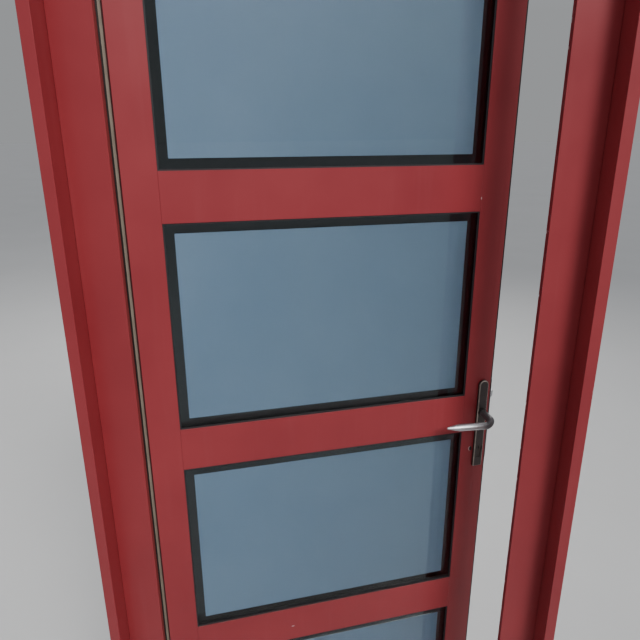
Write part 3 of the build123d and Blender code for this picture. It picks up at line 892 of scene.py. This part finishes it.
def addScrewHead(shape, place):  # a low countersunk head with a cross cut, in one closed skin
    look = screwLook
    radius, rings, count = look["headRadius"], look["rings"], look["spokes"]
    rows = []
    for ring in range(1, rings + 1):
        points = [(x, y, headHeight(x, y)) for x, y in ringPoints(radius * ring / rings)]
        rows.append([shape.verts.new(place @ Vector(point)) for point in points])
    points = [(x, y, -look["sunk"]) for x, y in ringPoints(radius)]
    under = [shape.verts.new(place @ Vector(point)) for point in points]
    rows.append(under)
    middle = shape.verts.new(place @ Vector((0, 0, look["dome"] - look["slotDepth"])))
    foot = shape.verts.new(place @ Vector((0, 0, -look["sunk"])))
    for n in range(count):
        m = (n + 1) % count
        shape.faces.new((middle, rows[0][n], rows[0][m]))
        shape.faces.new((foot, under[m], under[n]))
        for inner, outer in zip(rows, rows[1:]):
            shape.faces.new((inner[n], outer[n], outer[m], inner[m]))


def addScrews(name, places, body):
    shape = bmesh.new()
    for place in places:
        addScrewHead(shape, place)
    newPiece(name, shape, "screw_steel", body)


def screwPlaces(x, y, heights, outward):
    return [facing(Vector((x, y, z)), outward) for z in heights]


def flapScrews(x, body, bottom, top):  # two, one above the other, on a flap's room side
    middle, half = (bottom + top) / 2, screwLook["flapPitch"] / 2
    return screwPlaces(x, screwLook["flapBack"][body], (middle + half, middle - half), toRoom)


def addHingeScrews():
    inset = screwLook["flapInset"]
    for n in (1, 2, 3):
        low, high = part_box(f"hinge_{n}_frame_half")
        flapTop = (low.z + high.z) / 2  # the pin stands above the frame's flap
        places = flapScrews(low.x + inset, "frame", low.z, flapTop)
        addScrews(f"hinge_{n}_frame_screws", places, "frame")
        low, high = shutBox(f"hinge_{n}_leaf_half")
        places = flapScrews(high.x - inset, "leaf", low.z, high.z)
        addScrews(f"hinge_{n}_leaf_screws", [leafTurn @ place for place in places], "leaf")


def endHeights(low, high):
    return low.z + screwLook["endInset"], high.z - screwLook["endInset"]


def addLockScrews():
    low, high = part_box("strike_plate")
    y = (low.y + high.y) / 2
    places = screwPlaces(low.x, y, endHeights(low, high), toHinges)
    addScrews("strike_plate_screws", places, "frame")
    low, high = shutBox("lock_case")
    places = screwPlaces(high.x, y, endHeights(low, high), -toHinges)
    addScrews("lock_forend_screws", [leafTurn @ place for place in places], "leaf")


addHingeScrews()
addLockScrews()
print("small screws added")


# Floor, light and camera

floorLook = {
    "colour": (0.53, 0.525, 0.515, 1),
    "pale": (0.55, 0.545, 0.535, 1),
    "cloudScale": 0.9,
    "cloudSpan": (0.35, 0.65),
    "roughness": 0.75,
    "size": 160.0,
}

skyLook = {
    "low": (0.318, 0.327, 0.336, 1),  # round the horizon, the tone of the far floor
    "high": (0.6, 0.622, 0.66, 1),
    "rise": (0.16, 0.62),  # how far up the tone changes, as a share of straight up
}

lampLook = {
    "skyPanel": {
        "place": (3.2, -5.9, 7.3),
        "aim": (0.0, 0.1, 2.3),
        "size": 3.9,
        "spread": 28.5,
        "power": 47,
    },
    "roomFill": {
        "place": (1.3, 5.3, 5.6),
        "aim": (0.0, 0.2, 1.1),
        "size": 3.2,
        "spread": 110,
        "power": 95,
    },
}

cameraLook = {
    "place": (-0.0226, -1.0167, 1.7035),
    "yaw": -0.075,
    "pitch": 18.26,  # degrees below level
    "roll": -0.19,
    "lens": 32.56,
    "sensor": 36.0,
    "clip": (0.02, 200.0),
}


def addFloor():
    look = floorLook
    material, tree, shader = newMaterial("paleFloor")
    cloud = noiseAt(tree, objectPlace(tree), look["cloudScale"], detail=5.0, roughness=0.6)
    shade = remap(tree, cloud, *look["cloudSpan"])
    tone = mixColour(tree, shade, look["colour"], look["pale"])
    put(tree, shader, "Base Color", tone)
    put(tree, shader, "Roughness", look["roughness"])
    half = look["size"] / 2
    corners = [(-half, -half, 0), (half, -half, 0), (half, half, 0), (-half, half, 0)]
    mesh = bpy.data.meshes.new("paleFloor")
    mesh.from_pydata(corners, [], [(0, 1, 2, 3)])
    mesh.materials.append(material)
    floor = addObject("paleFloor", mesh)


def addLamp(name):
    look = lampLook[name]
    light = bpy.data.lights.new(name, "AREA")
    light.shape = "SQUARE"
    light.size = look["size"]
    light.energy = look["power"]
    light.spread = math.radians(look["spread"])
    lamp = addObject(name, light)
    place = Vector(look["place"])
    lamp.matrix_world = facing(place, (place - Vector(look["aim"])).normalized())


def addSky():
    world = bpy.data.worlds.new("softStudio")
    world.use_nodes = True
    tree = world.node_tree
    sky = addNode(tree, "ShaderNodeTexCoord").outputs["Generated"]
    rise = remap(tree, reachAlong(tree, sky, upward), *skyLook["rise"])
    tone = mixColour(tree, rise, skyLook["low"], skyLook["high"])
    put(tree, tree.nodes["Background"], "Color", tone)
    bpy.context.scene.world = world


def addCamera():
    look = cameraLook
    yaw, pitch, roll = (math.radians(look[key]) for key in ("yaw", "pitch", "roll"))
    level = Vector((math.sin(yaw), math.cos(yaw), 0))
    across = Vector((math.cos(yaw), -math.sin(yaw), 0))
    ahead = level * math.cos(pitch) - upward * math.sin(pitch)
    rise = upward * math.cos(pitch) + level * math.sin(pitch)
    right = across * math.cos(roll) + rise * math.sin(roll)
    top = rise * math.cos(roll) - across * math.sin(roll)
    lens = bpy.data.cameras.new("streetView")
    lens.lens = look["lens"]
    lens.sensor_width = look["sensor"]
    lens.clip_start, lens.clip_end = look["clip"]
    camera = addObject("streetView", lens)
    turn = Matrix((right, top, -ahead)).transposed().to_4x4()
    camera.matrix_world = Matrix.Translation(Vector(look["place"])) @ turn
    bpy.context.scene.camera = camera


addFloor()
for name in lampLook:
    addLamp(name)
addSky()
addCamera()
print("stage, lights and camera set")
